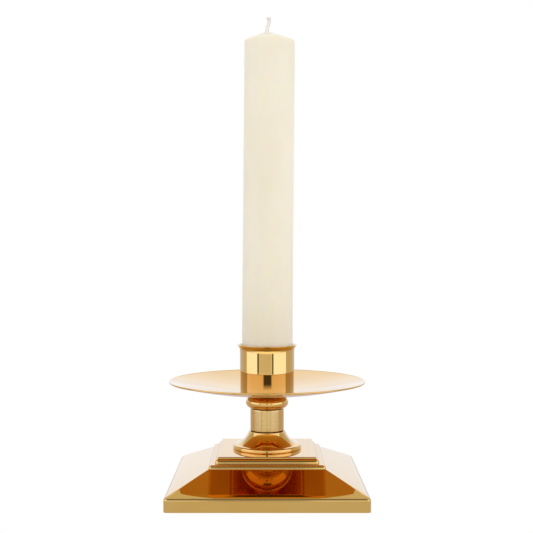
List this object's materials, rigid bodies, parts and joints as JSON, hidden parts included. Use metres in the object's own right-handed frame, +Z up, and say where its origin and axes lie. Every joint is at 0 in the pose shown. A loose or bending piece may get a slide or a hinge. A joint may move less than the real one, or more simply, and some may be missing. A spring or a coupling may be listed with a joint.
{
  "type": "candle holder",
  "caption": "Low brass candlestick with a stepped square base, a round drip pan and a flared socket for one thick candle, which lifts out.",
  "frame": {"origin": "on the table, under the centre of the square base", "axes": "+Z up along the stem towards the candle, +X to the right along one side of the base"},
  "size_m": [0.146, 0.146, 0.3523],
  "materials": {
    "polished_brass": "high polish under clear lacquer",
    "satin_brass": "satin, brushed around, under clear lacquer",
    "zinc_steel": "zinc plated",
    "hardboard": "plain hardboard",
    "felt": "wool felt",
    "wax": "smooth ivory wax",
    "cotton": "braided cotton"
  },
  "bodies": {
    "holder": {"base_shell": "polished_brass", "backing_board": "hardboard", "felt_pad": "felt", "tie_rod": "zinc_steel", "base_washer": "zinc_steel", "lock_washer": "zinc_steel", "base_nut": "zinc_steel", "trumpet_foot": "polished_brass", "satin_tube": "satin_brass", "stem_bead": "polished_brass", "pan_collar": "polished_brass", "drip_pan": "polished_brass", "socket_base": "polished_brass", "candle_socket": "polished_brass", "socket_washer": "zinc_steel", "socket_nut": "zinc_steel"},
    "candle": {"candle_body": "wax", "wick": "cotton"}
  },
  "joints": [
    {"name": "candle_lift", "type": "slide", "parent": "holder", "child": "candle", "axis": [0.0079, 0, 1], "range_m": [0, 0.05]}
  ]
}
